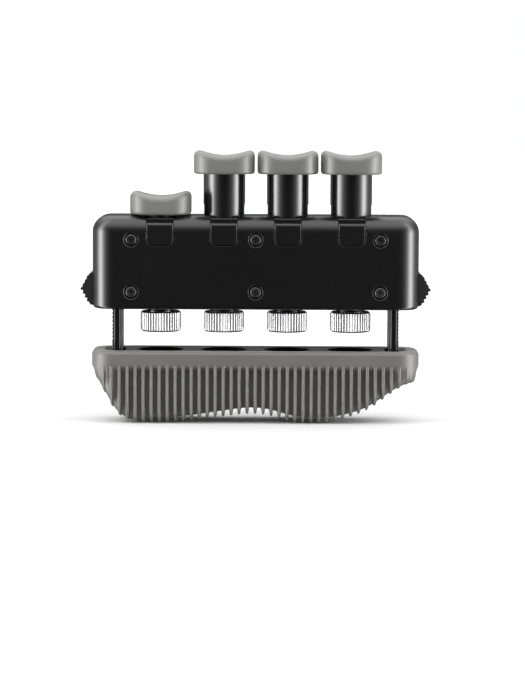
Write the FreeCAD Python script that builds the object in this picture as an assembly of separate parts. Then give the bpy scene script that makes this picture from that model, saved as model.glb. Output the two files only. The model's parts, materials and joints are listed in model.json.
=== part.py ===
import FreeCAD, Part
import math
import os

# Hand exerciser: four sprung finger plungers in a housing, and a ribbed palm
# grip that slides up and down under it on two toothed posts.
# Millimetres. X runs across the fingers, the front faces -Y, Z is up.
# Every shape is drawn with Z = 0 on the housing's underside and is lifted by
# GRIP_DROP when it is written, so the grip's lowest point sits on Z = 0.

os.makedirs("parts", exist_ok=True)

V = FreeCAD.Vector
GRIP_DROP = 35.0

# Housing: two shells screwed together on the plane Y = 0
HOUSING_W = 100.0
HOUSING_D = 22.0
HOUSING_H = 28.5
PLAN_R = 6.5
TOP_R = 5.0
FOOT_R = 1.2
WALL = 2.0
FLOOR = 2.0
CEILING = 26.1
SEAM_W = 0.3
SEAM_DEPTH = 0.25

# Case screws
SCREW_X = (-38.0, 0.0, 38.0)
SCREW_Z = (5.3, 21.3)
BOSS_R = 2.0
SCREW_R = 1.0
HEAD_R = 1.7
HEAD_H = 1.2
HEAD_SEAT_Y = -9.6
COUNTERBORE_R = 2.2
SLOT_W = 0.5
SLOT_L = 2.3
SLOT_TURN = 12

# Finger units, left to right, and how far each one is pushed down
PITCH = 19.5
UNIT_X = [PITCH * (i - 1.5) for i in range(4)]
STROKE = 12.5
PUSHED = (STROKE, 0.0, 0.0, 0.0)

# Plunger, heights given at the top of its travel
STEM_R = 6.425
STEM_FLAT = 6.195
FLAT_TOP = 31.7
FLANGE_R = 7.0
FLANGE_H = 1.5
PLUNGER_FOOT = 15.5
PLUNGER_TOP = 44.5
PLUNGER_BORE_R = 4.5
PLUNGER_BORE_TOP = 43.0
KEY_W = 1.6
KEY_R = 5.3

# Finger cap
CAP_W = 18.7
CAP_D = 19.0
CAP_H = 7.0
CAP_FOOT = 41.2
CAP_PLAN_R = 6.0
CAP_EDGE_R = 1.8
SADDLE_R = 19.5
SADDLE_DIP = 1.5

# Plunger guide with the tongue that fills the housing's front notch
GUIDE_Z0 = 17.1
GUIDE_Z1 = 26.05
GUIDE_W = 18.6
GUIDE_D = 17.7
GUIDE_BORE_R = 6.525
GUIDE_KEY_TOP = 19.1
GUIDE_KEY_X = 6.245
TONGUE_W = 8.05
TONGUE_Z0 = 19.65
TONGUE_Z1 = 26.6
TONGUE_FACE_Y = -10.9
TONGUE_R = 1.7
TONGUE_LIP_R = 1.2
TONGUE_RIM_R = 0.25
COLLAR_TOP = 27.8
COLLAR_EDGE_R = 0.4
NOTCH_GAP = 0.15
FLARE_W = 0.16
FLARE_DEPTH = 0.2
STEM_HOLE_R = 6.75

# Tension drive: spring, seat nut, screw and knurled dial
SPRING_R = 3.7
WIRE_D = 0.8
SPRING_TURNS = 8.5
SEAT_Z0 = 16.3
SEAT_Z1 = 20.3
SEAT_R = 4.4
SEAT_KEY_R = 5.2
SEAT_KEY_W = 1.45
SEAT_BORE_R = 2.04
ROD_R = 2.0
ROD_TOP = 27.5
ROD_FOOT = -6.4
ROD_HOLE_R = 2.08
CLIP_Z0 = 2.1
CLIP_H = 0.8
CLIP_R = 3.8
CLIP_GROOVE_R = 1.6
DIAL_R = 6.25
DIAL_Z0 = -7.4
DIAL_Z1 = -1.15
DIAL_RIDGES = 40
RIDGE_DEPTH = 0.3
DIAL_CHAMFER = 0.5
DIAL_BOSS_R = 4.3
DIAL_BOSS_TOP = -0.65
WASHER_R = 4.1
WASHER_BORE_R = 2.2
WASHER_Z0 = -0.6
WASHER_Z1 = -0.02

# Toothed posts
POST_X = 42.5
POST_W = 3.24
POST_HALF_D = 4.5
POST_FOOT = -18.9
POST_TOP = 13.0
TOOTH_PITCH = 1.2
TOOTH_DEPTH = 0.35
FIRST_TOOTH = -9.9
LAST_TOOTH = 12.0
POST_GROOVE_W = 1.3
POST_GROOVE_DEPTH = 0.6
POST_RAIL_R = 0.4
FLEX = 0.8

# Release buttons in the side walls
BUTTON_HALF_D = 5.5
BUTTON_Z0 = 0.95
BUTTON_Z1 = 10.85
BUTTON_PEAK = 3.3
BUTTON_LIP = 0.8
BUTTON_PEAK_Z = 5.9
BUTTON_RIB_R = 0.42
FLANGE_X0 = 45.6
FLANGE_X1 = 46.9
PAD_X = 46.95
WINDOW_GAP = 0.12

# Palm grip: hard tray inside a ribbed rubber sleeve
GRIP_HALF_W = 50.3
GRIP_HALF_D = 11.0
RIM_TOP = -12.9
GRIP_PLAN_R = 7.0
RIM_R = 1.2
BAND_FOOT = -17.3
RAMP_FOOT = -19.8
FRONT_GROOVE = 2.0
FRONT_GROOVE_END = 0.2
GROOVE_FADE = (39.0, 49.5)
UNDER_GROOVE = 1.75
UNDER_GROOVE_END = 0.1
UNDER_GROOVE_SPREAD = 33.0
GRIP_EDGE_R = 4.5
CORE_SHRINK = 1.2
EDGE_STEPS = 7
RIB_COUNT = 41
RIB_PITCH = 2.45
RIB_W = 1.2
TRAY_HALF_W = 46.3
TRAY_HALF_D = 7.6
TRAY_PLAN_R = 4.5
TRAY_TOP = -13.1
TRAY_FOOT = -21.0
TRAY_CHAMFER = 4.0
CUP_R = 7.0
CUP_FLOOR = -18.9


def block(x0, x1, y0, y1, z0, z1):
    return Part.makeBox(x1 - x0, y1 - y0, z1 - z0, V(x0, y0, z0))


def rod_z(r, x, y, z0, z1):
    return Part.makeCylinder(r, z1 - z0, V(x, y, z0), V(0, 0, 1))


def rod_y(r, x, z, y0, y1):
    return Part.makeCylinder(r, y1 - y0, V(x, y0, z), V(0, 1, 0))


def moved(shape, dx, dy, dz):
    copy = shape.copy()
    copy.translate(V(dx, dy, dz))
    return copy


def mirrored(shape):
    return shape.mirror(V(0, 0, 0), V(1, 0, 0))


def upright_edges(shape):
    return [e for e in shape.Edges if e.BoundBox.XLength < 0.01 and e.BoundBox.YLength < 0.01]


def edges_at(shape, z):
    return [e for e in shape.Edges if abs(e.BoundBox.ZMin - z) < 0.01 and abs(e.BoundBox.ZMax - z) < 0.01]


def rounded_block(half_w, half_d, z0, z1, plan_r):
    body = block(-half_w, half_w, -half_d, half_d, z0, z1)
    return body.makeFillet(plan_r, upright_edges(body))


def case_form(inset):
    # The outer form of the housing, pulled in by inset all round
    form = rounded_block(HOUSING_W / 2 - inset, HOUSING_D / 2 - inset, inset, HOUSING_H - inset, PLAN_R - inset)
    form = form.makeFillet(TOP_R - inset, edges_at(form, HOUSING_H - inset))
    return form.makeFillet(FOOT_R - inset, edges_at(form, inset))


def front_notch(x):
    # Opening with two round lower corners, from the stem hole out through the front
    half = TONGUE_W / 2 + NOTCH_GAP
    cut = block(x - half, x + half, -12, -5, TONGUE_Z0 - NOTCH_GAP, HOUSING_H + 1)
    low = [e for e in edges_at(cut, TONGUE_Z0 - NOTCH_GAP) if e.BoundBox.XLength < 0.01]
    return cut.makeFillet(TONGUE_R + NOTCH_GAP, low)


def notch_flare(x):
    # Narrow bevel along the notch's edge in the front face
    loops = []
    for grow, y in ((0.0, -HOUSING_D / 2 + FLARE_DEPTH), (FLARE_W * 2, -HOUSING_D / 2 - FLARE_DEPTH)):
        half = TONGUE_W / 2 + NOTCH_GAP + grow
        z0 = TONGUE_Z0 - NOTCH_GAP - grow
        r = TONGUE_R + NOTCH_GAP + grow
        k = r * (1 - math.sqrt(0.5))
        top = HOUSING_H + 1
        edges = [Part.makeLine(V(x - half, y, top), V(x - half, y, z0 + r)),
                 Part.Arc(V(x - half, y, z0 + r), V(x - half + k, y, z0 + k), V(x - half + r, y, z0)).toShape(),
                 Part.makeLine(V(x - half + r, y, z0), V(x + half - r, y, z0)),
                 Part.Arc(V(x + half - r, y, z0), V(x + half - k, y, z0 + k), V(x + half, y, z0 + r)).toShape(),
                 Part.makeLine(V(x + half, y, z0 + r), V(x + half, y, top)),
                 Part.makeLine(V(x + half, y, top), V(x - half, y, top))]
        loops.append(Part.Wire(edges))
    return Part.makeLoft(loops, True, True)


def button_window():
    gap = WINDOW_GAP
    inner = FLANGE_X1 - FLEX - 0.4
    return block(inner, 51, -BUTTON_HALF_D - gap, BUTTON_HALF_D + gap, BUTTON_Z0 - gap, BUTTON_Z1 + gap)


def post_slot():
    inner = POST_X - POST_W / 2 - FLEX - 0.1
    outer = POST_X + POST_W / 2 + 0.5
    return block(inner, outer, -POST_HALF_D - 0.15, POST_HALF_D + 0.15, -1, FLOOR + 0.5)


def catch_tooth():
    # Wedge on the slot's outer edge that faces the post's teeth
    wall = POST_X + POST_W / 2 + 0.55
    tip = POST_X + POST_W / 2 + 0.05
    half = POST_HALF_D + 0.2
    points = [V(wall, -half, 0.3), V(tip, -half, 0.9), V(tip, -half, 1.1), V(wall, -half, 1.7)]
    points.append(points[0])
    return Part.Face(Part.makePolygon(points)).extrude(V(0, 2 * half, 0))


def housing_body():
    form = case_form(0)
    body = form.cut(rounded_block(HOUSING_W / 2 - WALL, HOUSING_D / 2 - WALL, FLOOR, CEILING, PLAN_R - WALL))
    seam = block(-60, 60, -SEAM_W / 2, SEAM_W / 2, -5, 40).common(form).cut(case_form(SEAM_DEPTH))
    body = body.cut(seam)
    inside = []
    for z in SCREW_Z:
        for x in SCREW_X:
            inside.append(rod_y(BOSS_R, x, z, -9.2, 9.2))
    cheek_end = FLANGE_X0 - FLEX - 0.1
    for side in (-1, 1):
        # Ledges that hold the guides up against the ceiling
        y = side * 8.3
        inside.append(block(-38.6, 38.6, y - 0.9, y + 0.9, GUIDE_Z0 - 1.7, GUIDE_Z0))
        # Cheeks either side of each post, short of the button's flange when it is pressed
        y = side * (POST_HALF_D + 0.8)
        inside.append(block(40.3, cheek_end, y - 0.6, y + 0.6, FLOOR - 0.1, 14))
        inside.append(block(-cheek_end, -40.3, y - 0.6, y + 0.6, FLOOR - 0.1, 14))
    # Thick pads round the button windows
    inside.append(block(PAD_X, 49, -8.9, 8.9, FLOOR - 0.1, 13.4).common(form))
    inside.append(block(-49, -PAD_X, -8.9, 8.9, FLOOR - 0.1, 13.4).common(form))
    body = body.multiFuse(inside)
    cuts = [button_window(), mirrored(button_window()), post_slot(), mirrored(post_slot())]
    for x in (-40.95, 40.95):
        # Trim the outer bosses clear of the posts
        cuts.append(block(x - 1.0, x + 1.0, -4.65, 4.65, FLOOR + 0.4, CEILING))
    for x in UNIT_X:
        # Room for the plunger's flange beside the outer bosses
        cuts.append(rod_z(FLANGE_R + 0.25, x, 0, FLOOR + 0.4, GUIDE_Z0))
        cuts.append(rod_z(STEM_HOLE_R, x, 0, CEILING - 0.5, HOUSING_H + 1))
        cuts.append(Part.makeCone(STEM_HOLE_R, STEM_HOLE_R + 1.4, 1.4, V(x, 0, HOUSING_H - 0.7)))
        cuts.append(front_notch(x))
        cuts.append(notch_flare(x))
        cuts.append(rod_z(ROD_HOLE_R, x, 0, -1, FLOOR + 1))
    for z in SCREW_Z:
        for x in SCREW_X:
            cuts.append(rod_y(COUNTERBORE_R, x, z, -12, HEAD_SEAT_Y))
            cuts.append(Part.makeCone(COUNTERBORE_R, COUNTERBORE_R + 0.6, 0.6, V(x, -10.9, z), V(0, -1, 0)))
            cuts.append(rod_y(SCREW_R + 0.05, x, z, -10, 0))
            cuts.append(rod_y(SCREW_R, x, z, 0, 6.2))
    body = body.cut(cuts)
    return body.multiFuse([catch_tooth(), mirrored(catch_tooth())])


def front_shell(body):
    return body.common(block(-60, 60, -20, 0, -5, 40))


def back_shell(body):
    return body.common(block(-60, 60, 0, 20, -5, 40))


def case_screw(x, z):
    top = HEAD_SEAT_Y - HEAD_H
    head = rod_y(HEAD_R, x, z, top, HEAD_SEAT_Y)
    rim = [e for e in head.Edges if abs(e.BoundBox.YMin - top) < 0.01 and abs(e.BoundBox.YMax - top) < 0.01]
    head = head.makeFillet(0.45, rim)
    cross = Part.makeCone(0.8, 0.1, 1.0, V(x, top - 0.05, z), V(0, 1, 0))
    arm = SLOT_W / 2
    cross = cross.fuse(block(x - arm, x + arm, top - 0.1, top + 0.7, z - SLOT_L / 2, z + SLOT_L / 2))
    cross = cross.fuse(block(x - SLOT_L / 2, x + SLOT_L / 2, top - 0.1, top + 0.7, z - arm, z + arm))
    cross.rotate(V(x, 0, z), V(0, 1, 0), SLOT_TURN)
    shank = rod_y(SCREW_R, x, z, HEAD_SEAT_Y, 5.4)
    return head.cut(cross).fuse(shank).removeSplitter()


def housing_screws():
    return Part.makeCompound([case_screw(x, z) for z in SCREW_Z for x in SCREW_X])


def plunger():
    body = rod_z(STEM_R, 0, 0, PLUNGER_FOOT, PLUNGER_TOP)
    for side in (-1, 1):
        x = side * (STEM_FLAT + 1)
        body = body.cut(block(x - 1, x + 1, -8, 8, PLUNGER_FOOT, FLAT_TOP))
    body = body.fuse(rod_z(FLANGE_R, 0, 0, PLUNGER_FOOT, PLUNGER_FOOT + FLANGE_H))
    body = body.cut(rod_z(PLUNGER_BORE_R, 0, 0, PLUNGER_FOOT, PLUNGER_BORE_TOP))
    half = KEY_W / 2
    return body.cut(block(-half, half, -KEY_R, KEY_R, PLUNGER_FOOT, PLUNGER_BORE_TOP))


def finger_cap():
    top = CAP_FOOT + CAP_H
    body = rounded_block(CAP_W / 2, CAP_D / 2, CAP_FOOT, top, CAP_PLAN_R)
    body = body.makeFillet(CAP_EDGE_R, edges_at(body, top))
    body = body.makeFillet(0.4, edges_at(body, CAP_FOOT))
    body = body.cut(rod_y(SADDLE_R, 0, top - SADDLE_DIP + SADDLE_R, -12, 12))
    return body.cut(rod_z(STEM_R, 0, 0, CAP_FOOT, PLUNGER_TOP))


def plunger_guide(x):
    half_w = GUIDE_W / 2
    half_d = GUIDE_D / 2
    body = block(-half_w, half_w, -half_d, half_d, GUIDE_Z0, GUIDE_Z1)
    half = TONGUE_W / 2
    tongue = block(-half, half, TONGUE_FACE_Y, -half_d + 0.5, TONGUE_Z0, TONGUE_Z1)
    low = [e for e in edges_at(tongue, TONGUE_Z0) if e.BoundBox.XLength < 0.01]
    tongue = tongue.makeFillet(TONGUE_R, low)
    lip = [e for e in edges_at(tongue, TONGUE_Z1) if abs(e.BoundBox.YMax - TONGUE_FACE_Y) < 0.01]
    tongue = tongue.makeFillet(TONGUE_LIP_R, lip)
    face = [e for e in tongue.Edges if abs(e.BoundBox.YMax - TONGUE_FACE_Y) < 0.01]
    rim = [e for e in face if e.BoundBox.ZMin < TONGUE_Z1 - TONGUE_LIP_R - 0.1]
    tongue = tongue.makeFillet(TONGUE_RIM_R, rim)
    # Collar that closes the notch behind the tongue, up round the stem
    collar = block(-half, half, -half_d, -5, GUIDE_Z1 - 0.5, COLLAR_TOP)
    brow = [e for e in edges_at(collar, COLLAR_TOP) if abs(e.BoundBox.YMax + half_d) < 0.01]
    collar = collar.makeFillet(COLLAR_EDGE_R, brow)
    body = body.fuse([tongue, collar])
    keyed = rod_z(GUIDE_BORE_R, 0, 0, GUIDE_Z0 - 1, GUIDE_KEY_TOP)
    keyed = keyed.common(block(-GUIDE_KEY_X, GUIDE_KEY_X, -8, 8, GUIDE_Z0 - 1, GUIDE_KEY_TOP))
    body = body.cut(keyed).cut(rod_z(GUIDE_BORE_R, 0, 0, GUIDE_KEY_TOP, COLLAR_TOP + 1))
    bosses = [rod_y(BOSS_R + 0.1, sx - x, SCREW_Z[1], -10, 10) for sx in SCREW_X]
    return moved(body.cut(bosses), x, 0, 0)


def spring(push):
    foot = SEAT_Z1 + 0.05
    top = PLUNGER_BORE_TOP - push - 0.05
    rise = top - foot - WIRE_D
    helix = Part.makeHelix(rise / SPRING_TURNS, rise, SPRING_R)
    section = Part.Wire([Part.makeCircle(WIRE_D / 2, V(SPRING_R, 0, 0), V(0, 1, 0))])
    coil = Part.Wire(helix.Edges).makePipeShell([section], True, True)
    return moved(coil, 0, 0, foot + WIRE_D / 2)


def spring_seat():
    body = rod_z(SEAT_R, 0, 0, SEAT_Z0, SEAT_Z1)
    half = SEAT_KEY_W / 2
    keys = block(-half, half, -SEAT_KEY_R, SEAT_KEY_R, SEAT_Z0, SEAT_Z1)
    body = body.fuse(keys).removeSplitter()
    return body.cut(rod_z(SEAT_BORE_R, 0, 0, SEAT_Z0, SEAT_Z1))


def tension_screw():
    body = rod_z(ROD_R, 0, 0, ROD_FOOT, ROD_TOP)
    body = body.makeChamfer(0.5, edges_at(body, ROD_TOP))
    groove = rod_z(ROD_R + 1, 0, 0, CLIP_Z0, CLIP_Z0 + CLIP_H)
    groove = groove.cut(rod_z(CLIP_GROOVE_R, 0, 0, CLIP_Z0, CLIP_Z0 + CLIP_H))
    return body.cut(groove)


def retaining_clip():
    ring = rod_z(CLIP_R, 0, 0, CLIP_Z0, CLIP_Z0 + CLIP_H)
    ring = ring.cut(rod_z(CLIP_GROOVE_R, 0, 0, CLIP_Z0, CLIP_Z0 + CLIP_H))
    mouth = block(-1.1, 1.1, 0, 5, CLIP_Z0, CLIP_Z0 + CLIP_H)
    notches = [rod_z(1.1, x, -1.2, CLIP_Z0, CLIP_Z0 + CLIP_H) for x in (-2.6, 2.6)]
    return ring.cut([mouth] + notches)


def tension_dial():
    # Round ridges all round the rim, with a sharp valley between each two
    ridges = []
    turn = 2 * math.pi / DIAL_RIDGES
    valley_r = DIAL_R - RIDGE_DEPTH
    for i in range(DIAL_RIDGES):
        points = []
        for part, r in ((0.0, valley_r), (0.5, DIAL_R), (1.0, valley_r)):
            a = turn * ((i + part) % DIAL_RIDGES)
            points.append(V(r * math.cos(a), r * math.sin(a), DIAL_Z0))
        ridges.append(Part.Arc(*points).toShape())
    knurl = Part.Face(Part.Wire(ridges)).extrude(V(0, 0, DIAL_Z1 - DIAL_Z0))
    blank = rod_z(DIAL_R, 0, 0, DIAL_Z0, DIAL_Z1)
    blank = blank.makeChamfer(DIAL_CHAMFER, edges_at(blank, DIAL_Z0) + edges_at(blank, DIAL_Z1))
    body = knurl.common(blank).fuse(rod_z(DIAL_BOSS_R, 0, 0, DIAL_Z1, DIAL_BOSS_TOP))
    dish = Part.makeCone(3.2, 4.0, 0.5, V(0, 0, DIAL_Z0 + 0.5), V(0, 0, -1))
    return body.cut(rod_z(ROD_R, 0, 0, ROD_FOOT, 0)).cut(dish)


def thrust_washers():
    rings = []
    for x in UNIT_X:
        ring = rod_z(WASHER_R, x, 0, WASHER_Z0, WASHER_Z1)
        rings.append(ring.cut(rod_z(WASHER_BORE_R, x, 0, WASHER_Z0, WASHER_Z1)))
    return Part.makeCompound(rings)


def post():
    half = POST_W / 2
    body = block(POST_X - half, POST_X + half, -POST_HALF_D, POST_HALF_D, POST_FOOT, POST_TOP)
    body = body.makeFillet(POST_RAIL_R, upright_edges(body))
    groove = POST_GROOVE_W / 2
    for y in (-POST_HALF_D, POST_HALF_D):
        # Groove between two rails, with rounded edges
        body = body.cut(block(POST_X - groove, POST_X + groove, y - POST_GROOVE_DEPTH, y + POST_GROOVE_DEPTH,
                              RIM_TOP, POST_TOP + 1))
        lips = [e for e in upright_edges(body) if abs(abs(e.BoundBox.XMin - POST_X) - groove) < 0.01
                and abs(e.BoundBox.YMin - y) < 0.01]
        body = body.makeFillet(POST_RAIL_R, lips)
    side = POST_X + half
    cuts = []
    for k in range(int((LAST_TOOTH - FIRST_TOOTH) / TOOTH_PITCH) + 1):
        z = FIRST_TOOTH + k * TOOTH_PITCH
        gap = [V(side + 0.1, -6, z - 0.15), V(side - TOOTH_DEPTH, -6, z + 0.15),
               V(side - TOOTH_DEPTH, -6, z + 0.4), V(side + 0.1, -6, z + 0.95), V(side + 0.1, -6, z - 0.15)]
        cuts.append(Part.Face(Part.makePolygon(gap)).extrude(V(0, 12, 0)))
    return body.cut(cuts)


def release_button():
    face = HOUSING_W / 2
    profile = [V(FLANGE_X1 - 0.2, 0, BUTTON_Z0), V(face + BUTTON_LIP - 0.2, 0, BUTTON_Z0),
               V(face + BUTTON_LIP, 0, BUTTON_Z0 + 0.2), V(face + BUTTON_PEAK, 0, BUTTON_PEAK_Z),
               V(face + BUTTON_LIP, 0, BUTTON_Z1 - 0.2), V(face + BUTTON_LIP - 0.2, 0, BUTTON_Z1),
               V(FLANGE_X1 - 0.2, 0, BUTTON_Z1)]
    profile.append(profile[0])
    half = BUTTON_HALF_D
    outer = Part.Face(Part.makePolygon(profile)).extrude(V(0, 2 * half, 0))
    pieces = [moved(outer, 0, -half, 0)]
    run = BUTTON_PEAK - BUTTON_LIP
    for end in (BUTTON_Z0 + 0.2, BUTTON_Z1 - 0.2):
        # Grip ribs up the slope, the last one in common at the peak
        for k in range(1, 5):
            x = face + BUTTON_LIP + run * k / 4
            z = end + (BUTTON_PEAK_Z - end) * k / 4
            pieces.append(rod_y(BUTTON_RIB_R, x, z, -half, half))
    pieces.append(block(FLANGE_X0, FLANGE_X1, -6.8, 6.8, FLOOR + 0.12, 12.6))
    pieces.append(block(POST_X + POST_W / 2 + 0.1, FLANGE_X0, -4.0, 4.0, 5.0, 8.0))
    return pieces[0].multiFuse(pieces[1:]).removeSplitter()


def tray_form():
    form = rounded_block(TRAY_HALF_W, TRAY_HALF_D, TRAY_FOOT, TRAY_TOP, TRAY_PLAN_R)
    beyond = TRAY_HALF_W + 1
    corner = [V(beyond, -9, TRAY_FOOT + TRAY_CHAMFER + 1), V(beyond, -9, TRAY_FOOT - 1),
              V(TRAY_HALF_W - TRAY_CHAMFER - 1, -9, TRAY_FOOT - 1)]
    corner.append(corner[0])
    wedge = Part.Face(Part.makePolygon(corner)).extrude(V(0, 18, 0))
    return form.cut([wedge, mirrored(wedge)])


def grip_tray():
    inner = POST_X - POST_W / 2 - FLEX - 0.1
    outer = POST_X + POST_W / 2 + 0.1
    socket = block(inner, outer, -POST_HALF_D - 0.1, POST_HALF_D + 0.1, POST_FOOT - 0.1, TRAY_TOP + 1)
    cuts = [socket, mirrored(socket)]
    for x in UNIT_X:
        cuts.append(rod_z(CUP_R, x, 0, CUP_FLOOR, TRAY_TOP + 1))
    return tray_form().cut(cuts)


def under_groove(x):
    # Depth of the grooves under the grip: deep in the hollow, next to nothing at the steep ends
    return UNDER_GROOVE_END + UNDER_GROOVE * math.exp(-(x / UNDER_GROOVE_SPREAD) ** 2)


def no_groove(x):
    return 0.0


def front_groove(x):
    # Depth of the grooves in the front and back, fading out round the ends
    start, stop = GROOVE_FADE
    t = min(max((abs(x) - start) / (stop - start), 0.0), 1.0)
    fade = t * t * (3 - 2 * t)
    return FRONT_GROOVE + (FRONT_GROOVE_END - FRONT_GROOVE) * fade


def half_depth(x):
    # Half the grip's depth at x, less near its rounded ends
    past = max(abs(x) - (GRIP_HALF_W - GRIP_PLAN_R), 0.0)
    return GRIP_HALF_D - GRIP_PLAN_R + math.sqrt(GRIP_PLAN_R ** 2 - past ** 2)


def drawn_in(points, depth):
    # Points of the grip's outline moved inward, square to the line through their neighbours
    moved_points = []
    for i, point in enumerate(points):
        if i == 0:
            way = V(0.7, 0, 0.2)
        elif i == len(points) - 1:
            way = V(-0.6, 0, 1)
        else:
            along = points[i + 1] - points[i - 1]
            way = V(-along.z, 0, along.x) / along.Length
        moved_points.append(point + way * depth(point.x))
    return moved_points


def palm_profile(y, depth):
    # Outline of the grip seen from the front: steep heel, hollow, rounded belly
    end = GRIP_HALF_W
    low = -GRIP_DROP + 0.065
    outline = [(-end, -18.0), (-49.7, -20.0), (-48.2, -22.8), (-46.2, -26.2), (-43.9, -30.3), (-41.2, -33.3),
               (-37.0, -34.85), (-32.0, low), (-24.0, -34.6), (-15.0, -33.8), (-7.0, -32.85), (0.5, -32.4),
               (6.0, -33.3), (11.0, -34.6), (16.5, low), (22.0, -34.7), (26.5, -33.85), (31.5, -32.3),
               (36.5, -29.8), (41.0, -26.5), (44.5, -24.2), (47.5, -22.8), (end, -22.0)]
    points = drawn_in([V(x, 0, z) for x, z in outline], depth)
    curve = Part.BSplineCurve()
    curve.interpolate(points)
    first, last = points[0], points[-1]
    left_top = V(first.x, 0, RIM_TOP)
    right_top = V(last.x, 0, RIM_TOP)
    edges = [Part.makeLine(right_top, left_top), Part.makeLine(left_top, first), curve.toShape(),
             Part.makeLine(last, right_top)]
    return moved(Part.Wire(edges), 0, y, 0)


def palm_form(depth, half_d, edge_r):
    # Outline run from front to back through its rounded lower front and back edges
    wires = []
    for step in range(-EDGE_STEPS, EDGE_STEPS + 1):
        if step == 0:
            continue
        turn = math.pi / 2 * (abs(step) - 1) / (EDGE_STEPS - 1)
        y = half_d - edge_r + edge_r * math.sin(turn)
        inset = edge_r * (1 - math.cos(turn))
        wires.append(palm_profile(math.copysign(y, step), lambda x: depth(x) + inset))
    return Part.makeLoft(wires, True, True)


def grip_outline(z, depth, slack):
    # Outline of the grip in plan, drawn in by the depth of its grooves
    places = [GROOVE_FADE[0], 41.0, 43.0, 45.0, 46.8, 48.4, 49.5, GRIP_HALF_W]
    corner = [V(x, half_depth(x) - depth(x) + slack, 0) for x in places[:-1]]
    corner.append(V(GRIP_HALF_W - depth(GRIP_HALF_W) + slack, GRIP_HALF_D - GRIP_PLAN_R, 0))
    quarters = []
    for sx, sy in ((1, 1), (-1, 1), (-1, -1), (1, -1)):
        points = [V(sx * p.x, sy * p.y, z) for p in corner]
        quarters.append(points if sx * sy < 0 else points[::-1])
    edges = []
    for i, points in enumerate(quarters):
        curve = Part.BSplineCurve()
        curve.interpolate(points)
        edges.append(curve.toShape())
        edges.append(Part.makeLine(points[-1], quarters[(i + 1) % 4][0]))
    return Part.Wire(edges)


def grip_sleeve():
    outer = palm_form(no_groove, GRIP_HALF_D, GRIP_EDGE_R)
    outer = outer.common(rounded_block(GRIP_HALF_W, GRIP_HALF_D, -40, RIM_TOP, GRIP_PLAN_R))
    outer = outer.makeFillet(RIM_R, edges_at(outer, RIM_TOP))
    core = palm_form(under_groove, GRIP_HALF_D - CORE_SHRINK, GRIP_EDGE_R - CORE_SHRINK)
    core_plan = Part.Face(grip_outline(-40, front_groove, 0)).extrude(V(0, 0, BAND_FOOT + 40))
    core = core.common(core_plan)
    band = outer.common(block(-60, 60, -20, 20, BAND_FOOT, 0))
    loops = [grip_outline(BAND_FOOT, no_groove, 0.05), grip_outline(RAMP_FOOT, front_groove, 0)]
    ramp = Part.makeLoft(loops, True, True).common(outer)
    slabs = []
    for i in range(RIB_COUNT):
        x = RIB_PITCH * (i - (RIB_COUNT - 1) / 2)
        slabs.append(block(x - RIB_W / 2, x + RIB_W / 2, -15, 15, -40, BAND_FOOT + 0.5))
    ribs = outer.common(Part.makeCompound(slabs))
    body = core.multiFuse([band, ramp] + ribs.Solids)
    mouth = rounded_block(TRAY_HALF_W, TRAY_HALF_D, TRAY_TOP - 1, 0, TRAY_PLAN_R)
    return body.cut([tray_form(), mouth])


def write(name, shape):
    moved(shape, 0, 0, GRIP_DROP).exportStep("parts/" + name + ".step")


housing = housing_body()
write("front_shell", front_shell(housing))
write("back_shell", back_shell(housing))
write("housing_screws", housing_screws())
write("thrust_washers", thrust_washers())

for number, (unit_x, push) in enumerate(zip(UNIT_X, PUSHED), start=1):
    write("plunger_guide_%d" % number, plunger_guide(unit_x))
    write("plunger_%d" % number, moved(plunger(), unit_x, 0, -push))
    write("finger_cap_%d" % number, moved(finger_cap(), unit_x, 0, -push))
    write("plunger_spring_%d" % number, moved(spring(push), unit_x, 0, 0))
    write("spring_seat_%d" % number, moved(spring_seat(), unit_x, 0, 0))
    write("tension_screw_%d" % number, moved(tension_screw(), unit_x, 0, 0))
    write("retaining_clip_%d" % number, moved(retaining_clip(), unit_x, 0, 0))
    write("tension_dial_%d" % number, moved(tension_dial(), unit_x, 0, 0))

write("post_right", post())
write("post_left", mirrored(post()))
write("release_button_right", release_button())
write("release_button_left", mirrored(release_button()))
write("grip_tray", grip_tray())
write("grip_sleeve", grip_sleeve())
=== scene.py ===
import json
import math

import bmesh
import bpy
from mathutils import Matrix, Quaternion, Vector
from mathutils.bvhtree import BVHTree


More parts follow.
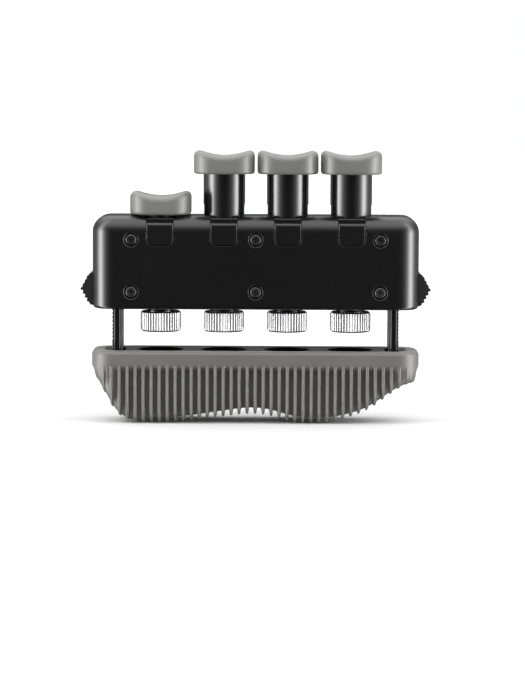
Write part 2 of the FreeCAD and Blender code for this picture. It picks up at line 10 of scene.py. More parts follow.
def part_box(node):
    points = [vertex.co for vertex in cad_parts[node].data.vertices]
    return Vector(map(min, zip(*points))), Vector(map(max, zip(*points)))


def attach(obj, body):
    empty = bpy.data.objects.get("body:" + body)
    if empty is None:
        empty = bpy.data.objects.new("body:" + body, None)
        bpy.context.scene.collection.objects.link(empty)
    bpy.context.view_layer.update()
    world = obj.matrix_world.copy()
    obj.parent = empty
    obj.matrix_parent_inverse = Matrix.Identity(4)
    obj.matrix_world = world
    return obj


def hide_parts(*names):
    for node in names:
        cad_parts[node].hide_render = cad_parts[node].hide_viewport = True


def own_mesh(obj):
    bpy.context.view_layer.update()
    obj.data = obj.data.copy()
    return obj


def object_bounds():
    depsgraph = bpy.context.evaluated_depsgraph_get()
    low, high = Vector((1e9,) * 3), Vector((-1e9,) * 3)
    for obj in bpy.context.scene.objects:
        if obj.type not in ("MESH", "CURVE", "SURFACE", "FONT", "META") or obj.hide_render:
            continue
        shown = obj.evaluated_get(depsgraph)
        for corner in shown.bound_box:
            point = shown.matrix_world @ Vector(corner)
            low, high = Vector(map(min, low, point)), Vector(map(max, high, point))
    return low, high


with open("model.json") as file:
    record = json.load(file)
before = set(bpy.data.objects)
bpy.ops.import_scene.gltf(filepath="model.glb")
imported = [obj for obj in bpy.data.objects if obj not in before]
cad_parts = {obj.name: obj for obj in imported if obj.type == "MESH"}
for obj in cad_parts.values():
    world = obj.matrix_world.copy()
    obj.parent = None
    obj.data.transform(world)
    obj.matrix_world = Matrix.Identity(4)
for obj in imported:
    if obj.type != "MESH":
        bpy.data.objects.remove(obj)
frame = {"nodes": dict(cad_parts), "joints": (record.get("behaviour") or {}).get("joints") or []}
cad_lo, cad_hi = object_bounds()
nodes = frame["nodes"]
scene = bpy.context.scene
MM = 0.001


# ---------------------------------------------------------------- materials

class Shader:
    """A material's node tree, with short calls for its nodes, over the object's own coordinates in metres."""

    def __init__(self, name):
        self.material = bpy.data.materials.new(name)
        self.material.use_nodes = True
        self.tree = self.material.node_tree
        self.bsdf = self.tree.nodes["Principled BSDF"]
        self.coords = self.tree.nodes.new("ShaderNodeTexCoord").outputs["Object"]

    def link(self, a, b):
        self.tree.links.new(a, b)

    def node(self, kind, **settings):
        made = self.tree.nodes.new(kind)
        for key, value in settings.items():
            setattr(made, key, value)
        return made

    def noise(self, scale, detail=3.0, rough=0.55, stretch=None):
        tex = self.node("ShaderNodeTexNoise")
        tex.inputs["Scale"].default_value = scale
        tex.inputs["Detail"].default_value = detail
        tex.inputs["Roughness"].default_value = rough
        coords = self.coords
        if stretch:
            mapping = self.node("ShaderNodeMapping")
            mapping.inputs["Scale"].default_value = stretch
            self.link(coords, mapping.inputs["Vector"])
            coords = mapping.outputs["Vector"]
        self.link(coords, tex.inputs["Vector"])
        return tex.outputs["Fac"]

    def ramp(self, value, lo, hi, out_lo, out_hi):
        made = self.node("ShaderNodeMapRange")
        made.inputs["From Min"].default_value = lo
        made.inputs["From Max"].default_value = hi
        made.inputs["To Min"].default_value = out_lo
        made.inputs["To Max"].default_value = out_hi
        self.link(value, made.inputs["Value"])
        return made.outputs["Result"]

    def mix(self, factor, a, b):
        made = self.node("ShaderNodeMix", data_type="RGBA")
        for socket, value in ((made.inputs["Factor"], factor), (made.inputs[6], a), (made.inputs[7], b)):
            if isinstance(value, bpy.types.NodeSocket):
                self.link(value, socket)
            else:
                socket.default_value = (*value, 1.0)
        return made.outputs[2]

    def maths(self, operation, a, b):
        made = self.node("ShaderNodeMath", operation=operation)
        for socket, value in ((made.inputs[0], a), (made.inputs[1], b)):
            if isinstance(value, bpy.types.NodeSocket):
                self.link(value, socket)
            else:
                socket.default_value = value
        return made.outputs[0]

    def bump(self, height, distance):
        made = self.node("ShaderNodeBump")
        made.inputs["Distance"].default_value = distance
        self.link(height, made.inputs["Height"])
        return made.outputs["Normal"]

    def edges(self, lo, hi):
        """0 at pointiness lo to 1 at hi, which can lie either way round."""
        geometry = self.node("ShaderNodeNewGeometry")
        return self.ramp(geometry.outputs["Pointiness"], lo, hi, 0.0, 1.0)

    def set(self, **values):
        for key, value in values.items():
            socket = self.bsdf.inputs[key.replace("_", " ")]
            if isinstance(value, bpy.types.NodeSocket):
                self.link(value, socket)
            elif isinstance(value, tuple):
                socket.default_value = (*value, 1.0)
            else:
                socket.default_value = value


# Noise between these two values is spread over the whole of a change in colour or roughness
NOISE_LO, NOISE_HI = 0.3, 0.7
# Noise scales, in waves per metre
PATCH_SCALE = 90.0
SMEAR_SCALE = 14.0
SCUFF_SCALE = 260.0
RUBBER_PATCH_SCALE = 55.0
FINE_SCALE = 420.0
SMUDGE_SCALE = 160.0
# Stretch that makes noise into fine level lines
HAIRLINES = (1.0, 1.0, 14.0)
# Noise this high shows as a scuff
SCUFF_LO, SCUFF_HI = 0.66, 0.76
SCUFF_STRENGTH = 0.3
SCUFF_DULLING = 0.06
# Pointiness of hollows that get painted shade, and of edges that are rubbed
HOLLOW_LO, HOLLOW_HI = 0.49, 0.4
EDGE_LO, EDGE_HI = 0.52, 0.6
# Noise this high shows as tarnish
TARNISH_LO, TARNISH_HI = 0.5, 0.75
# Height over which the painted shade on a dial's neck fades in
NECK_FADE = 0.04 * MM


def moulded_plastic(name, base, light, rough, grain, depth):
    """Injection-moulded plastic: fine texture, slightly uneven gloss and a few faint hairline scuffs."""
    s = Shader(name)
    grains = s.noise(grain, 4.0, 0.6)
    patches = s.noise(PATCH_SCALE, 3.0)
    smears = s.noise(SMEAR_SCALE, 2.0)
    scuffs = s.ramp(s.noise(SCUFF_SCALE, 2.0, 0.5, HAIRLINES), SCUFF_LO, SCUFF_HI, 0.0, 1.0)
    body = s.mix(s.ramp(patches, NOISE_LO, NOISE_HI, 0.0, 0.35), base, light)
    s.set(Base_Color=s.mix(s.maths("MULTIPLY", scuffs, SCUFF_STRENGTH), body, tuple(2.0 * c for c in light)))
    smeared = s.ramp(smears, NOISE_LO, NOISE_HI, rough - 0.02, rough + 0.02)
    gloss = s.maths("ADD", smeared, s.ramp(grains, NOISE_LO, NOISE_HI, -0.01, 0.02))
    dulled = s.maths("ADD", gloss, s.maths("MULTIPLY", scuffs, SCUFF_DULLING))
    s.set(Roughness=dulled, Normal=s.bump(grains, depth))
    return s.material


def rubber(name, base, light, rough, grain, depth, hollow_shade):
    """Moulded rubber: dull, with a fine pebble, faint patches, paler rubbed edges and painted shade darkening
    the hollows.
    """
    s = Shader(name)
    pebble = s.noise(grain, 5.0, 0.65)
    patches = s.noise(RUBBER_PATCH_SCALE, 4.0)
    dust = s.noise(FINE_SCALE, 2.0)
    body = s.mix(s.ramp(patches, NOISE_LO, NOISE_HI, 0.0, 1.0), base, light)
    # Painted shade: hollows are darkened towards 0.3 of the base colour
    body = s.mix(s.maths("MULTIPLY", s.edges(HOLLOW_LO, HOLLOW_HI), hollow_shade), body, tuple(0.3 * c for c in base))
    worn = s.maths("MULTIPLY", s.edges(EDGE_LO, EDGE_HI), s.ramp(dust, NOISE_LO, NOISE_HI, 0.15, 0.6))
    s.set(Base_Color=s.mix(worn, body, tuple(1.35 * c for c in light)))
    s.set(Roughness=s.ramp(patches, NOISE_LO, NOISE_HI, rough - 0.05, rough + 0.06))
    s.set(Normal=s.bump(pebble, depth), Specular_IOR_Level=0.5)
    s.set(Sheen_Weight=0.12, Sheen_Roughness=0.4)
    return s.material


def metal(name, base, dark, rough, depth, stretch=None, scale=2500.0, neck_z=None):
    """Plated or turned metal: fine tool lines, faint smudges, a little tarnish, and painted shade darkening
    it above neck_z.
    """
    s = Shader(name)
    lines = s.noise(scale, 3.0, 0.6, stretch)
    smudge = s.noise(SMUDGE_SCALE, 3.0)
    tarnish = s.ramp(s.noise(FINE_SCALE, 3.0), TARNISH_LO, TARNISH_HI, 0.0, 0.35)
    colour = s.mix(tarnish, base, dark)
    if neck_z:
        height = s.node("ShaderNodeSeparateXYZ")
        s.link(s.coords, height.inputs[0])
        # Painted shade: above neck_z the colour fades to near black, standing in for the shadow under the
        # housing
        neck_shade = s.ramp(height.outputs["Z"], neck_z, neck_z + NECK_FADE, 0.0, 1.0)
        colour = s.mix(neck_shade, colour, tuple(0.05 * c for c in dark))
    s.set(Base_Color=colour, Metallic=1.0)
    s.set(Roughness=s.ramp(smudge, NOISE_LO, NOISE_HI, rough * 0.7, rough * 1.4), Normal=s.bump(lines, depth))
    return s.material


# Plastics and rubbers: colour, lighter colour, roughness, scale of the grain and its depth in metres, and for
# rubbers the strength of the painted shade in the hollows
black = moulded_plastic(
    "case_satin_black", (0.0022, 0.0022, 0.0024), (0.0032, 0.0032, 0.0036), 0.26, 3200.0, 0.002 * MM)
guide_black = moulded_plastic(
    "guide_black", (0.0026, 0.0026, 0.0029), (0.0036, 0.0036, 0.004), 0.26, 3200.0, 0.002 * MM)
stem_black = moulded_plastic(
    "stem_black", (0.0025, 0.0025, 0.0027), (0.004, 0.004, 0.0042), 0.2, 4200.0, 0.003 * MM)
post_black = moulded_plastic(
    "post_black", (0.006, 0.006, 0.0064), (0.009, 0.009, 0.0096), 0.2, 3600.0, 0.003 * MM)
button_black = moulded_plastic(
    "button_grained_black", (0.008, 0.008, 0.0085), (0.014, 0.014, 0.015), 0.38, 2600.0, 0.03 * MM)
tray_black = moulded_plastic(
    "tray_gloss_black", (0.006, 0.006, 0.0065), (0.009, 0.009, 0.0095), 0.1, 3000.0, 0.003 * MM)
washer_black = moulded_plastic(
    "washer_black", (0.012, 0.012, 0.012), (0.02, 0.02, 0.02), 0.35, 3000.0, 0.01 * MM)
cap_grey = rubber(
    "cap_grey_rubber", (0.093, 0.093, 0.09), (0.103, 0.103, 0.1), 0.42, 3000.0, 0.02 * MM, 0.0)
grip_grey = rubber(
    "grip_grey_rubber", (0.08, 0.079, 0.076), (0.092, 0.09, 0.087), 0.46, 2400.0, 0.03 * MM, 0.9)

# Metals: colour, tarnished colour, roughness and the depth of the tool lines in metres
DIAL_NECK_H = 0.48 * MM
TURNED_SCALE = 900.0
# Above this height the dial's neck gets painted shade, for the shadow under the housing
dial_neck_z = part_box("tension_dial_1")[1].z - DIAL_NECK_H
chrome = metal("dial_chrome", (0.34, 0.34, 0.345), (0.24, 0.24, 0.24), 0.36, 0.0006 * MM, neck_z=dial_neck_z)
screw_black = metal("screw_black_oxide", (0.1, 0.1, 0.103), (0.05, 0.05, 0.05), 0.31, 0.02 * MM)
steel = metal("drawn_steel", (0.5, 0.5, 0.51), (0.16, 0.16, 0.16), 0.25, 0.008 * MM)
turned = metal("turned_steel", (0.55, 0.55, 0.56), (0.2, 0.2, 0.2), 0.22, 0.01 * MM, HAIRLINES, TURNED_SCALE)
brass = metal("turned_brass", (0.72, 0.52, 0.22), (0.3, 0.2, 0.08), 0.24, 0.01 * MM, HAIRLINES, TURNED_SCALE)

LOOKS = {
    "front_shell": black, "back_shell": black, "housing_screws": screw_black, "thrust_washers": washer_black,
    "plunger_guide": guide_black, "plunger": stem_black, "finger_cap": cap_grey, "plunger_spring": steel,
    "spring_seat": brass, "tension_screw": turned, "retaining_clip": steel, "tension_dial": chrome,
    "post": post_black, "release_button": button_black, "grip_tray": tray_black, "grip_sleeve": grip_grey,
}


def look_of(name):
    """The look of the longest key that the node's name starts with."""
    best = max((key for key in LOOKS if name.startswith(key)), key=len)
    return LOOKS[best]


# ---------------------------------------------------------------- CAD nodes

for name, obj in nodes.items():
    for slot in obj.material_slots:
        slot.material = look_of(name)


# ---------------------------------------------------------------- mesh helpers

def mesh_piece(name, verts, faces, material):
    """A piece from points in metres and faces, all smooth, with its normals turned outward."""
    mesh = bpy.data.meshes.new(name)
    mesh.from_pydata(verts, [], faces)
    form = bmesh.new()
    form.from_mesh(mesh)
    bmesh.ops.recalc_face_normals(form, faces=form.faces)
    for face in form.faces:
        face.smooth = True
    form.to_mesh(mesh)
    form.free()
    mesh.materials.append(material)
    made = bpy.data.objects.new(name, mesh)
    scene.collection.objects.link(made)
    return made


def smoothstep(t):
    """0 to 1 with level ends, for t from 0 to 1."""
    t = min(max(t, 0.0), 1.0)
    return t * t * (3 - 2 * t)


def soft_min(a, b, k):
    """The lesser of a and b, rounded where they are within k of each other."""
    t = max(k - abs(a - b), 0.0) / k
    return min(a, b) - t * t * k / 4


def skin(ring_count, size):
    """Quads between rings of points that follow one another, each of the same size."""
    faces = []
    for r in range(ring_count - 1):
        for i in range(size):
            j = (i + 1) % size
            faces.append((r * size + i, r * size + j, (r + 1) * size + j, (r + 1) * size + i))
    return faces


def quarter_steps(steps):
    """Angles from 0 to a right angle."""
    return [math.pi / 2 * k / steps for k in range(steps + 1)]


# ---------------------------------------------------------------- finger caps

CAP_PLAN_R = 6.0 * MM
CAP_FOOT_R = 0.8 * MM
CAP_TOP_R = 1.7 * MM
CAP_FOOT_INSETS = (5.5 * MM, 3.0 * MM)
SADDLE_R = 19.5 * MM
SADDLE_DIP = 1.5 * MM
SADDLE_BLEND = 0.5 * MM
SHOULDER_X = 7.5 * MM
SHOULDER_RISE = 0.05 * MM
CORNER_STEPS = 14
SIDE_STEPS = 26
SIDE_RINGS = 6
ROUND_STEPS = 8
TOP_RINGS = 12


def rounded_outline(half_w, half_d, r):
    """Points round a rounded rectangle, with the same count for every size."""
    points = []
    for quarter in range(4):
        turn = quarter * math.pi / 2
        along, across = (half_w, half_d) if quarter % 2 == 0 else (half_d, half_w)
        corner = Vector((along - r, across - r))
        for a in quarter_steps(CORNER_STEPS):
            points.append((corner + Vector((math.cos(a), math.sin(a))) * r, turn))
        run = 2 * (along - r)
        for k in range(1, SIDE_STEPS):
            points.append((Vector((along - r - run * k / SIDE_STEPS, across)), turn))
    spun = []
    for point, turn in points:
        c, s = math.cos(turn), math.sin(turn)
        spun.append((point.x * c - point.y * s, point.x * s + point.y * c))
    return spun


def cap_top(x, top):
    """Height of the cap's top across its width: flat shoulders and a round finger saddle."""
    saddle = top - SADDLE_DIP + SADDLE_R - math.sqrt(SADDLE_R ** 2 - x * x)
    swell = SHOULDER_RISE * smoothstep(1 - abs(abs(x) - SHOULDER_X) / MM)
    return soft_min(top, saddle, SADDLE_BLEND) + swell


def cap_rings(half_w, half_d, low, top):
    """Rings of a cap round the origin, from the middle of its foot, up its side and in over the saddle."""
    def outline(inset):
        return rounded_outline(half_w - inset, half_d - inset, CAP_PLAN_R - inset)

    rings = [[(x, y, low) for x, y in outline(inset)] for inset in CAP_FOOT_INSETS]
    for a in quarter_steps(ROUND_STEPS):
        z = low + CAP_FOOT_R * (1 - math.cos(a))
        rings.append([(x, y, z) for x, y in outline(CAP_FOOT_R * (1 - math.sin(a)))])
    foot = low + CAP_FOOT_R
    for k in range(1, SIDE_RINGS):
        share = k / SIDE_RINGS
        rings.append([(x, y, foot + (cap_top(x, top) - CAP_TOP_R - foot) * share) for x, y in outline(0.0)])
    for a in quarter_steps(ROUND_STEPS):
        drop = CAP_TOP_R * (1 - math.sin(a))
        rings.append([(x, y, cap_top(x, top) - drop) for x, y in outline(CAP_TOP_R * (1 - math.cos(a)))])
    for k in range(1, TOP_RINGS):
        shrink = 1 - k / (TOP_RINGS + 1)
        rings.append([(x * shrink, y * shrink, cap_top(x * shrink, top)) for x, y in outline(CAP_TOP_R)])
    return rings


def finger_cap(number):
    """Rubber saddle cap in place of the CAD cap."""
    node = "finger_cap_%d" % number
    lo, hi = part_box(node)
    centre = (lo + hi) / 2
    rings = cap_rings((hi.x - lo.x) / 2, (hi.y - lo.y) / 2, lo.z, hi.z)
    size = len(rings[0])
    verts = [(x + centre.x, y + centre.y, z) for ring in rings for x, y, z in ring]
    faces = skin(len(rings), size)
    faces.append(tuple(range(size))[::-1])
    # The top is closed by a strip of quads across the last ring
    last = (len(rings) - 1) * size
    for i in range(size // 2 - 1):
        faces.append((last + i, last + i + 1, last + (size - i - 2) % size, last + (size - i - 1) % size))
    piece = mesh_piece("rubber_cap_%d" % number, verts, faces, cap_grey)
    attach(piece, "finger_plunger_%d" % number)
    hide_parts(node)


for number in range(1, 5):
    finger_cap(number)


# ---------------------------------------------------------------- ribbed palm grip

RIB_PITCH = 2.45 * MM
RIB_COUNT = 41
RIB_CREST_R = 0.43 * MM
RIB_FLANK = 8.0
ROOT_R = 0.35 * MM
RIM_R = 1.2 * MM
LIP_R = 0.15 * MM
GRIP_PLAN_R = 7.0 * MM
GRIP_EDGE_R = 4.5 * MM
CORE_EDGE_R = 3.3 * MM
BAND_H = 3.7 * MM
RAMP_START = 4.05 * MM
RAMP_H = 2.9 * MM
FRONT_GROOVE = 2.0 * MM
FRONT_GROOVE_END = 0.2 * MM
GROOVE_FADE = (39.0 * MM, 49.5 * MM)
UNDER_GROOVE = 1.75 * MM
UNDER_GROOVE_END = 0.1 * MM
UNDER_GROOVE_SPREAD = 33.0 * MM
TRAY_PLAN_R = 4.5 * MM
TRAY_CHAMFER = 4.0 * MM
LIP_STEP = 0.3
PROBE_INSET = 0.05 * MM
PROBE_DROP = 10.0 * MM
# The round crest ends at this share of its radius, where the steep flank takes over
CREST_END = 0.97
# The grip's edges are at most these shares of its half depth and its height
EDGE_R_SHARE = 0.85
EDGE_RISE_SHARE = 0.8
# Columns of points, in mm from a rib's middle, and beyond the outermost ribs
RIB_PLACES = (0.0, 0.12, 0.23, 0.32, 0.38, 0.417, 0.46, 0.52, 0.6, 0.71, 0.87, 1.05)
END_PLACES = (1.17, 1.24, 1.285)
# Rows of points, as shares of the way down the ribbed wall
WALL_ROWS = (0.02, 0.045, 0.07, 0.1, 0.13, 0.16, 0.19, 0.22, 0.26, 0.31, 0.4, 0.52, 0.66, 0.82, 1.0)
ARC_ROWS = 9
UNDER_ROWS = 4
END_POINTS = 9


class Grip:
    """The rubber sleeve's form, its outline read from the CAD sleeve's ribs."""

    def __init__(self):
        self.lo, self.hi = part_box("grip_sleeve")
        self.tray_lo, self.tray_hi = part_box("grip_tray")
        self.half_w = (self.hi.x - self.lo.x) / 2
        self.half_d = (self.hi.y - self.lo.y) / 2
        self.band_z = self.hi.z - BAND_H
        self.ribs = [RIB_PITCH * (i - (RIB_COUNT - 1) / 2) for i in range(RIB_COUNT)]
        self.outline = self.read_outline()

    def read_outline(self):
        """Points along the ribs' lower edge, found by probing the CAD sleeve from below."""
        node = nodes["grip_sleeve"]
        corners = [v.co for v in node.data.vertices]
        tree = BVHTree.FromPolygons(corners, [p.vertices for p in node.data.polygons])
        knots = []
        for x in [-self.half_w + PROBE_INSET] + self.ribs + [self.half_w - PROBE_INSET]:
            hit = tree.ray_cast(Vector((x, 0.0, self.lo.z - PROBE_DROP)), Vector((0, 0, 1)))[0]
            knots.append((x, hit.z))
        return knots

    def under(self, x):
        """Height of the underside at x, by a cubic through the nearest four ribs, and its slope."""
        knots = self.outline
        i = 0
        while i < len(knots) - 2 and knots[i + 1][0] < x:
            i += 1
        (x0, z0), (x1, z1) = knots[i], knots[i + 1]
        before = knots[max(i - 1, 0)]
        after = knots[min(i + 2, len(knots) - 1)]
        m0 = (z1 - before[1]) / (x1 - before[0])
        m1 = (after[1] - z0) / (after[0] - x0)
        h = x1 - x0
        t = min(max((x - x0) / h, 0.0), 1.0)
        z = (2 * t ** 3 - 3 * t * t + 1) * z0 + (t ** 3 - 2 * t * t + t) * h * m0
        z += (3 * t * t - 2 * t ** 3) * z1 + (t ** 3 - t * t) * h * m1
        slope = (6 * t * t - 6 * t) * (z0 - z1) / h
        slope += (3 * t * t - 4 * t + 1) * m0 + (3 * t * t - 2 * t) * m1
        return z, slope

    def columns(self):
        """Places along x: close together over each rib, then out to the ends."""
        places = set()
        for rib in self.ribs:
            for step in RIB_PLACES:
                places.add(round(rib - step * MM, 7))
                places.add(round(rib + step * MM, 7))
        for rib in self.ribs[:-1]:
            places.add(round(rib + RIB_PITCH / 2, 7))
        for step in END_PLACES:
            places.add(round(self.ribs[0] - step * MM, 7))
            places.add(round(self.ribs[-1] + step * MM, 7))
        return [-self.half_w] + sorted(places) + [self.half_w]

    def to_rib(self, x):
        """Distance from x to the nearest rib's middle."""
        return min(abs(x - rib) for rib in self.ribs)


def half_depth(x, half_w, half_d, r):
    """Half the depth of a rounded rectangle at x."""
    past = min(max(abs(x) - (half_w - r), 0.0), r)
    return half_d - r + math.sqrt(r * r - past * past)


def front_groove(x):
    """Depth of the grooves in the front wall at x."""
    start, stop = GROOVE_FADE
    return FRONT_GROOVE + (FRONT_GROOVE_END - FRONT_GROOVE) * smoothstep((abs(x) - start) / (stop - start))


def under_groove(x):
    """Depth of the grooves in the underside at x."""
    return UNDER_GROOVE_END + UNDER_GROOVE * math.exp(-(x / UNDER_GROOVE_SPREAD) ** 2)


def rib_depth(u):
    """How far the rib's surface lies below its crest, u from its middle: a round crest, then steep flanks."""
    if u < RIB_CREST_R * CREST_END:
        return RIB_CREST_R - math.sqrt(RIB_CREST_R ** 2 - u * u)
    shoulder = RIB_CREST_R - math.sqrt(RIB_CREST_R ** 2 * (1 - CREST_END ** 2))
    return shoulder + (u - RIB_CREST_R * CREST_END) * RIB_FLANK


def half_section(top, depth, low, rise, edge_r):
    """Front half of a section across the grip: down the wall, round the edge and in to the middle."""
    wall = top - (low + rise)
    points = [(-depth, top - wall * f) for f in WALL_ROWS]
    for a in quarter_steps(ARC_ROWS)[1:]:
        points.append((-(depth - edge_r) - edge_r * math.cos(a), low + rise * (1 - math.sin(a))))
    for k in range(1, UNDER_ROWS + 1):
        points.append((-(depth - edge_r) * (1 - k / UNDER_ROWS), low))
    return points


def ribbed_section(grip, x):
    """One section of the grip at x, front to back, with the grooves sunk into it."""
    low, slope = grip.under(x)
    lean = math.sqrt(1 + slope * slope)
    depth = half_depth(x, grip.half_w, grip.half_d, GRIP_PLAN_R)
    height = grip.band_z - low
    edge_r = min(GRIP_EDGE_R, EDGE_R_SHARE * depth)
    rise = min(GRIP_EDGE_R * lean, EDGE_RISE_SHARE * height)
    outer = half_section(grip.band_z, depth, low, rise, edge_r)
    core_low = low + under_groove(x) * lean
    core_depth = depth - front_groove(x)
    core_r = min(CORE_EDGE_R, EDGE_R_SHARE * core_depth)
    core_rise = min(CORE_EDGE_R * lean, EDGE_RISE_SHARE * (grip.band_z - core_low))
    core = half_section(grip.band_z, core_depth, core_low, core_rise, core_r)
    sunk = rib_depth(grip.to_rib(x))
    ramp_top = grip.hi.z - RAMP_START
    half = []
    for (y0, z0), (y1, z1) in zip(outer, core):
        gap = math.hypot(y1 - y0, z1 - z0)
        room = gap * smoothstep((ramp_top - z0) / RAMP_H)
        share = max(soft_min(sunk, room, ROOT_R), 0.0) / gap if gap > 0 else 0.0
        half.append((y0 + (y1 - y0) * share, z0 + (z1 - z0) * share))
    return half + [(-y, z) for y, z in half[-2::-1]]


def ring(grip, xs, half_w, half_d, r, height):
    """Loop round the grip: front columns left to right, right end, back columns, left end."""
    scale = half_w / grip.half_w
    front = [(x * scale, -half_depth(x * scale, half_w, half_d, r)) for x in xs]
    flat = half_d - r
    ends = [flat * (2 * (k + 1) / (END_POINTS + 1) - 1) for k in range(END_POINTS)]
    loop = front + [(half_w, y) for y in ends] + [(x, -y) for x, y in front[::-1]]
    loop += [(-half_w, -y) for y in ends]
    return [(x, y, height(x)) for x, y in loop]


def rim_rings(grip, xs):
    """Rings from the tray's underside up inside the rim, over it and down to the foot of the band."""
    top = grip.hi.z
    tray_w = (grip.tray_hi.x - grip.tray_lo.x) / 2
    tray_d = (grip.tray_hi.y - grip.tray_lo.y) / 2

    def tray_floor(x):
        return grip.tray_lo.z + max(abs(x) - (tray_w - TRAY_CHAMFER), 0.0)

    rings = [ring(grip, xs, tray_w, tray_d, TRAY_PLAN_R, tray_floor)]
    mid_lip = LIP_R * LIP_STEP
    for out, down, extra_r in ((0.0, LIP_R, 0.0), (mid_lip, mid_lip, 0.0), (LIP_R, 0.0, LIP_R)):
        z = top - down
        rings.append(ring(grip, xs, tray_w + out, tray_d + out, TRAY_PLAN_R + extra_r, lambda x, z=z: z))
    for a in quarter_steps(ROUND_STEPS):
        inset = RIM_R * (1 - math.sin(a))
        half_w, half_d, r = grip.half_w - inset, grip.half_d - inset, GRIP_PLAN_R - inset
        z = top - RIM_R * (1 - math.cos(a))
        rings.append(ring(grip, xs, half_w, half_d, r, lambda x, z=z: z))
    rings.append(ring(grip, xs, grip.half_w, grip.half_d, GRIP_PLAN_R, lambda x: grip.band_z))
    return rings


def strips(front, back, right_end, left_end):
    """Quads from front columns to back columns, with the ends' points in the outermost ones."""
    made = []
    count = len(front)
    for i in range(count - 1):
        corner = [front[i], front[i + 1]]
        if i == count - 2:
            corner += right_end
        corner += [back[i + 1], back[i]]
        if i == 0:
            corner += left_end
        made.append(tuple(corner))
    return made


def palm_grip():
    """Rubber sleeve round the tray, with rounded ribs, in place of the CAD sleeve."""
    grip = Grip()
    xs = grip.columns()
    rings = rim_rings(grip, xs)
    verts = [p for loop in rings for p in loop]
    loop_size = len(rings[0])
    faces = skin(len(rings), loop_size)
    count = len(xs)
    front = list(range(count))
    right_end = list(range(count, count + END_POINTS))
    back = list(range(count + END_POINTS, 2 * count + END_POINTS))[::-1]
    left_end = list(range(2 * count + END_POINTS, loop_size))
    faces += strips(front, back, right_end, left_end)
    # The ribbed underside hangs from the last ring
    base = (len(rings) - 1) * loop_size
    columns = []
    for i, x in enumerate(xs):
        section = ribbed_section(grip, x)
        first = len(verts)
        verts += [(x, y, z) for y, z in section]
        columns.append([base + front[i]] + list(range(first, first + len(section))) + [base + back[i]])
    for a, b in zip(columns, columns[1:]):
        for k in range(len(a) - 1):
            faces.append((a[k], b[k], b[k + 1], a[k + 1]))
    faces.append(tuple(columns[-1] + [base + i for i in right_end[::-1]]))
    faces.append(tuple(columns[0] + [base + i for i in left_end]))
    piece = mesh_piece("ribbed_palm_grip", verts, faces, grip_grey)
    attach(piece, "grip")
    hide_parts("grip_sleeve")


palm_grip()


# ---------------------------------------------------------------- coil springs

SPRING_TURNS = 8.5
SPRING_MEAN_R = 3.7 * MM
WIRE_R = 0.4 * MM
STEPS_PER_TURN = 36
WIRE_SIDES = 12


def coil_spring(number):
    """Coil in a raised plunger."""
    node = "plunger_spring_%d" % number
    lo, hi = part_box(node)
    seat_lo, seat_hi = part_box("spring_seat_%d" % number)
    centre_x = (seat_lo.x + seat_hi.x) / 2
    # The coil runs from its foot on the seat to the closed end of the plunger's bore
    length = hi.z - lo.z
    rise = length - 2 * WIRE_R
    count = int(SPRING_TURNS * STEPS_PER_TURN)
    verts, faces = [], []
    for i in range(count + 1):
        turn = 2 * math.pi * SPRING_TURNS * i / count
        out = Vector((math.cos(turn), math.sin(turn), 0.0))
        middle = Vector((centre_x, 0.0, lo.z + WIRE_R + rise * i / count)) + out * SPRING_MEAN_R
        for k in range(WIRE_SIDES):
            a = 2 * math.pi * k / WIRE_SIDES
            verts.append(middle + out * WIRE_R * math.cos(a) + Vector((0.0, 0.0, WIRE_R * math.sin(a))))
    for i in range(count):
        for k in range(WIRE_SIDES):
            j = (k + 1) % WIRE_SIDES
            a, b = i * WIRE_SIDES, (i + 1) * WIRE_SIDES
            faces.append((a + k, b + k, b + j, a + j))
    faces.append(tuple(range(WIRE_SIDES)))
    faces.append(tuple(range(count * WIRE_SIDES, (count + 1) * WIRE_SIDES))[::-1])
    piece = mesh_piece("coil_spring_%d" % number, verts, faces, steel)
    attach(piece, "seat_%d" % number)
    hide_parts(node)
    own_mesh(piece)


# Only the plungers that stand raised, whose joints run down from rest
for press in frame["joints"]:
    number = press["name"].split("_")[1]
    if press["name"] == "plunger_%s_press" % number and press["range_m"][0] < 0:
        coil_spring(int(number))


# ---------------------------------------------------------------- floor, light and camera

FLOOR_R = 3.0
FLOOR_GAP = 0.1 * MM
FLOOR_TONE = 0.5
SURROUND_R = 3.2
LIGHT_LEVEL = 17.0
# Light by turn, from the front (0) round to the back (1)
SIDE_LIGHT = [(0.0, 0.004), (0.10, 0.009), (0.16, 0.025), (0.22, 0.06), (0.28, 0.16), (0.33, 0.42),
              (0.38, 1.0), (0.44, 1.0), (0.49, 0.4), (0.54, 0.13), (0.62, 0.05), (0.72, 0.03),
              (0.85, 0.015), (0.93, 0.008), (1.0, 0.006)]
# Its share by height, from straight down (0) to straight up (1)
HEIGHT_LIGHT = [(0.0, 0.15), (0.25, 0.5), (0.38, 1.0), (0.5, 1.0), (0.58, 0.55), (0.7, 0.3),
                (0.85, 0.12), (1.0, 0.05)]
# Light overhead, from the horizon (0) to straight up (1)
TOP_LIGHT = [(0.0, 0.0), (0.15, 0.006), (0.3, 0.03), (0.45, 0.1), (0.6, 0.17), (0.8, 0.18), (1.0, 0.14)]
LENS_MM = 142.0
CAMERA_PLACE = (0.0022, -0.85, 0.1053)
CAMERA_TARGET = (0.0022, 0.0, 0.0217)
CAMERA_ROLL = 0.27


def floor_material():
    """Matt, with patches a shade darker."""
    s = Shader("floor_white")
    tone = (FLOOR_TONE,) * 3
    patches = s.ramp(s.noise(3.0), NOISE_LO, NOISE_HI, 0.0, 1.0)
    s.set(Base_Color=s.mix(patches, tone, tuple(0.985 * c for c in tone)), Roughness=0.6)
    return s.material


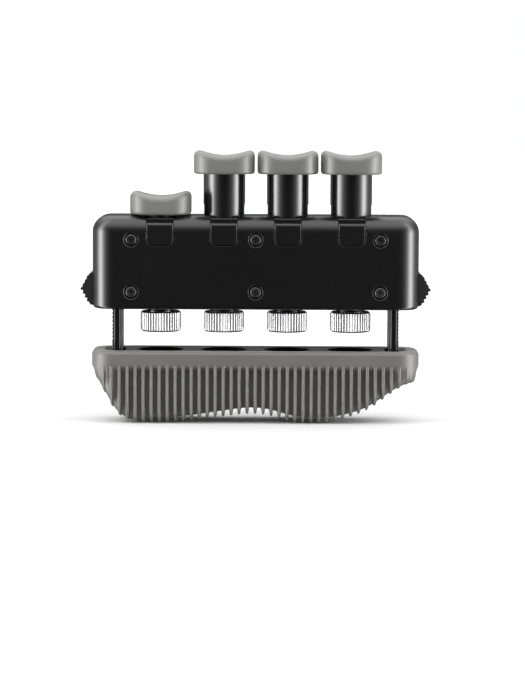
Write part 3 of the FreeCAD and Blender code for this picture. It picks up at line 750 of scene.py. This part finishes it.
def floor():
    """Pale floor that the object stands on, with no image of its own in the object's gloss."""
    mesh = bpy.data.meshes.new("floor")
    form = bmesh.new()
    bmesh.ops.create_circle(form, cap_ends=True, radius=FLOOR_R, segments=96)
    form.to_mesh(mesh)
    form.free()
    made = bpy.data.objects.new("floor", mesh)
    scene.collection.objects.link(made)
    made.location.z = cad_lo.z - FLOOR_GAP
    mesh.materials.append(floor_material())
    made.visible_glossy = False


def surround():
    """White studio wall all round, seen directly but casting no light of its own."""
    mesh = bpy.data.meshes.new("surround")
    form = bmesh.new()
    bmesh.ops.create_uvsphere(form, u_segments=64, v_segments=32, radius=SURROUND_R)
    form.to_mesh(mesh)
    form.free()
    made = bpy.data.objects.new("surround", mesh)
    scene.collection.objects.link(made)
    material = bpy.data.materials.new("surround_white")
    material.use_nodes = True
    tree = material.node_tree
    tree.nodes.clear()
    glow = tree.nodes.new("ShaderNodeEmission")
    glow.inputs["Strength"].default_value = 1.0
    out = tree.nodes.new("ShaderNodeOutputMaterial")
    tree.links.new(glow.outputs[0], out.inputs["Surface"])
    mesh.materials.append(material)
    made.visible_diffuse = False
    made.visible_glossy = False
    made.visible_transmission = False
    made.visible_shadow = False


def studio_world():
    """Softboxes left and right, a softer one overhead, and a dark room in front."""
    world = bpy.data.worlds.new("studio")
    scene.world = world
    world.use_nodes = True
    tree = world.node_tree
    tree.nodes.clear()
    new, link = tree.nodes.new, tree.links.new
    coords = new("ShaderNodeTexCoord")
    split = new("ShaderNodeSeparateXYZ")
    link(coords.outputs["Generated"], split.inputs[0])

    def maths(operation, a, b=0.0):
        """A maths node over sockets or numbers."""
        made = new("ShaderNodeMath")
        made.operation = operation
        for socket, value in zip(made.inputs, (a, b)):
            if isinstance(value, bpy.types.NodeSocket):
                link(value, socket)
            else:
                socket.default_value = value
        return made.outputs[0]

    def curve(value, points):
        """A smooth grey ramp through points of place and level."""
        ramp = new("ShaderNodeValToRGB")
        ramp.color_ramp.interpolation = "EASE"
        items = ramp.color_ramp.elements
        items[0].position, items[1].position = points[0][0], points[-1][0]
        for place, level in points[1:-1]:
            items.new(place)
        for item, (place, level) in zip(items, points):
            item.position = place
            item.color = (level, level, level, 1.0)
        link(value, ramp.inputs["Fac"])
        return ramp.outputs["Color"]

    x, y, z = split.outputs
    away = maths("ARCTAN2", maths("ABSOLUTE", x), maths("MULTIPLY", y, -1.0))
    turn = maths("DIVIDE", away, math.pi)
    lift = maths("DIVIDE", maths("ARCSINE", z), math.pi / 2)
    sides = curve(turn, SIDE_LIGHT)
    height = curve(maths("ADD", maths("MULTIPLY", lift, 0.5), 0.5), HEIGHT_LIGHT)
    top = curve(lift, TOP_LIGHT)
    level = maths("ADD", maths("MULTIPLY", sides, height), top)
    background = new("ShaderNodeBackground")
    background.inputs["Color"].default_value = (1.0, 1.0, 1.0, 1.0)
    link(maths("MULTIPLY", level, LIGHT_LEVEL), background.inputs["Strength"])
    out = new("ShaderNodeOutputWorld")
    link(background.outputs[0], out.inputs["Surface"])


def camera():
    """Long lens in front of the object and a little above it, rolled by a fraction of a degree."""
    data = bpy.data.cameras.new("camera")
    made = bpy.data.objects.new("camera", data)
    scene.collection.objects.link(made)
    data.lens = LENS_MM
    data.clip_start, data.clip_end = 0.05, 20.0
    made.location = CAMERA_PLACE
    made.rotation_mode = "QUATERNION"
    aim = (Vector(CAMERA_TARGET) - Vector(CAMERA_PLACE)).to_track_quat("-Z", "Y")
    made.rotation_quaternion = aim @ Quaternion((0.0, 0.0, 1.0), math.radians(CAMERA_ROLL))
    scene.camera = made


floor()
surround()
studio_world()
camera()
scene.view_settings.view_transform = "Standard"
